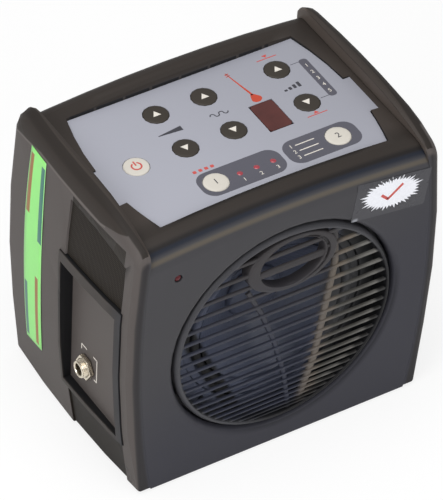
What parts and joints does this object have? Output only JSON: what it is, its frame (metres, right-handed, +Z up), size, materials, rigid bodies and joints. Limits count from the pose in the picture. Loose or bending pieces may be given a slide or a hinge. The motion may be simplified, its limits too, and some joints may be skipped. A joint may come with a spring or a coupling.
{
  "type": "electronic tanpura",
  "caption": "Bowed plastic drone-note player with a flat round speaker grille in front, a sunk keypad on top and connector trays in its end caps.",
  "frame": {"origin": "bottom centre of the case, on the plane of the rubber feet", "axes": "+Z up, the speaker grille faces -Y, and the keypad's right-hand end is towards +X"},
  "size_m": [0.1794, 0.118, 0.163],
  "materials": {
    "front_plastic": "fine satin grain",
    "side_plastic": "fine matt grain",
    "vent_plastic": "fine dimpled texture",
    "grille_plastic": "satin",
    "overlay_film": "satin printed film",
    "key_dark": "satin",
    "key_pale": "satin",
    "display_glass": "dark red gloss",
    "lamp_red": "clear red",
    "cone_film": "glossy coated paper",
    "rubber": "matt",
    "board": "solder mask",
    "black_plastic": "satin",
    "copper": "enamelled wire",
    "steel": "plated",
    "nickel": "satin nickel",
    "spider_cloth": "resin-treated cloth"
  },
  "bodies": {
    "case": {"front_shell": "front_plastic", "rear_cover": "front_plastic", "base_plate": "side_plastic", "left_end_cap": "side_plastic", "right_end_cap": "side_plastic", "left_vent_screen": "vent_plastic", "right_vent_screen": "vent_plastic", "left_connector_tray": "side_plastic", "right_connector_tray": "side_plastic", "jack_bushing": "nickel", "jack_nut": "nickel", "jack_body": "black_plastic", "mains_inlet": "black_plastic", "speaker_grille": "grille_plastic", "speaker_baffle": "black_plastic", "speaker_basket": "steel", "speaker_surround": "rubber", "spider": "spider_cloth", "speaker_magnet": "steel", "speaker_screw_1": "steel", "speaker_screw_2": "steel", "speaker_screw_3": "steel", "speaker_screw_4": "steel", "keypad_overlay": "overlay_film", "keypad_plate": "black_plastic", "keypad_board": "board", "display_window": "display_glass", "display_module": "black_plastic", "string_lamp_1": "lamp_red", "string_lamp_2": "lamp_red", "string_lamp_3": "lamp_red", "power_lamp": "lamp_red", "main_board": "board", "heat_sink": "steel", "transformer_core": "steel", "transformer_winding": "copper", "foot_1": "rubber", "foot_2": "rubber", "foot_3": "rubber", "foot_4": "rubber", "case_screw_1": "steel", "case_screw_2": "steel", "case_screw_3": "steel", "case_screw_4": "steel"},
    "volume_up_key_body": {"volume_up_key": "key_dark"},
    "volume_down_key_body": {"volume_down_key": "key_dark"},
    "tone_up_key_body": {"tone_up_key": "key_dark"},
    "tone_down_key_body": {"tone_down_key": "key_dark"},
    "pitch_up_key_body": {"pitch_up_key": "key_dark"},
    "pitch_down_key_body": {"pitch_down_key": "key_dark"},
    "power_key_body": {"power_key": "key_pale"},
    "string_key_body": {"string_key": "key_pale"},
    "mode_key_body": {"mode_key": "key_pale"},
    "cone_body": {"speaker_cone": "cone_film", "dust_cap": "cone_film", "voice_coil": "copper"}
  },
  "joints": [
    {"name": "volume_up_key_press", "type": "slide", "parent": "case", "child": "volume_up_key_body", "axis": [0, 0, -1], "range_m": [0, 0.0004], "stiffness_N_per_m": 2000},
    {"name": "volume_down_key_press", "type": "slide", "parent": "case", "child": "volume_down_key_body", "axis": [0, 0, -1], "range_m": [0, 0.0004], "stiffness_N_per_m": 2000},
    {"name": "tone_up_key_press", "type": "slide", "parent": "case", "child": "tone_up_key_body", "axis": [0, 0, -1], "range_m": [0, 0.0004], "stiffness_N_per_m": 2000},
    {"name": "tone_down_key_press", "type": "slide", "parent": "case", "child": "tone_down_key_body", "axis": [0, 0, -1], "range_m": [0, 0.0004], "stiffness_N_per_m": 2000},
    {"name": "pitch_up_key_press", "type": "slide", "parent": "case", "child": "pitch_up_key_body", "axis": [0, 0, -1], "range_m": [0, 0.0004], "stiffness_N_per_m": 2000},
    {"name": "pitch_down_key_press", "type": "slide", "parent": "case", "child": "pitch_down_key_body", "axis": [0, 0, -1], "range_m": [0, 0.0004], "stiffness_N_per_m": 2000},
    {"name": "power_key_press", "type": "slide", "parent": "case", "child": "power_key_body", "axis": [0, 0, -1], "range_m": [0, 0.0004], "stiffness_N_per_m": 2000},
    {"name": "string_key_press", "type": "slide", "parent": "case", "child": "string_key_body", "axis": [0, 0, -1], "range_m": [0, 0.0004], "stiffness_N_per_m": 2000},
    {"name": "mode_key_press", "type": "slide", "parent": "case", "child": "mode_key_body", "axis": [0, 0, -1], "range_m": [0, 0.0004], "stiffness_N_per_m": 2000},
    {"name": "cone_travel", "type": "slide", "parent": "case", "child": "cone_body", "axis": [0, -1, 0], "range_m": [-0.0015, 0.0015], "stiffness_N_per_m": 1500}
  ]
}
